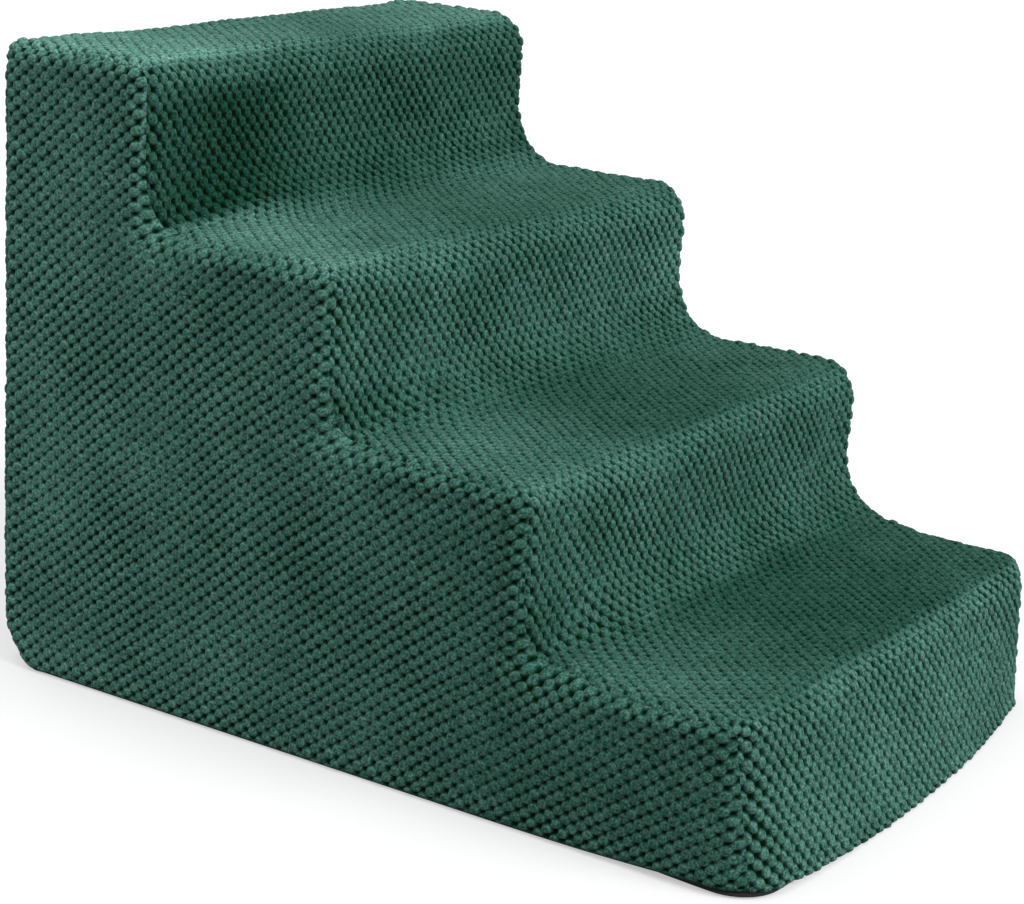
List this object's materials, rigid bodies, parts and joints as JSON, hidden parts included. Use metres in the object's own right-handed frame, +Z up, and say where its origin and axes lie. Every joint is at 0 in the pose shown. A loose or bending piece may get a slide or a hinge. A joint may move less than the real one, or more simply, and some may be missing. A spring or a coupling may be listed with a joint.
{
  "type": "pet stairs",
  "caption": "Foam pet stairs with a bubble plush cover that zips open at the back, over a stack of glued foam slabs on a non-slip base.",
  "frame": {"origin": "on the floor, in the middle of the footprint", "axes": "+X across the steps to the right as seen from in front, +Y from the lowest riser to the back, +Z up"},
  "size_m": [0.4, 0.56, 0.4],
  "materials": {
    "foam": "open-cell polyurethane foam, cream",
    "base_fabric": "black non-slip fabric with small grip dots",
    "plush": "dark green bubble plush, soft sheen",
    "zip_tape": "dark green woven polyester tape",
    "zip_coil": "dark green nylon coil",
    "zip_metal": "black enamelled zinc"
  },
  "bodies": {
    "stairs": {"foam_slab_1": "foam", "foam_slab_2": "foam", "foam_slab_3": "foam", "foam_slab_4": "foam", "base_panel": "base_fabric", "cover_left_panel": "plush", "cover_right_panel": "plush", "cover_step_panel": "plush", "cover_back_flap": "plush", "cover_back_border": "plush", "zip_tape_inner": "zip_tape", "zip_tape_outer": "zip_tape", "zip_coil_inner": "zip_coil", "zip_coil_outer": "zip_coil", "zip_top_stops": "zip_metal", "zip_bottom_stop": "zip_metal"},
    "slider": {"zip_slider": "zip_metal"},
    "pull": {"zip_pull": "zip_metal"}
  },
  "joints": [
    {"name": "zip_slide", "type": "slide", "parent": "stairs", "child": "slider", "axis": [0, 0, -1], "range_m": [0, 0.25], "deforming": ["zip_coil_inner", "zip_coil_outer"]},
    {"name": "pull_swing", "type": "hinge", "parent": "slider", "child": "pull", "pos_m": [0.174, 0.27795, 0.3458], "axis": [1, 0, 0], "range_deg": [0, 150]}
  ]
}
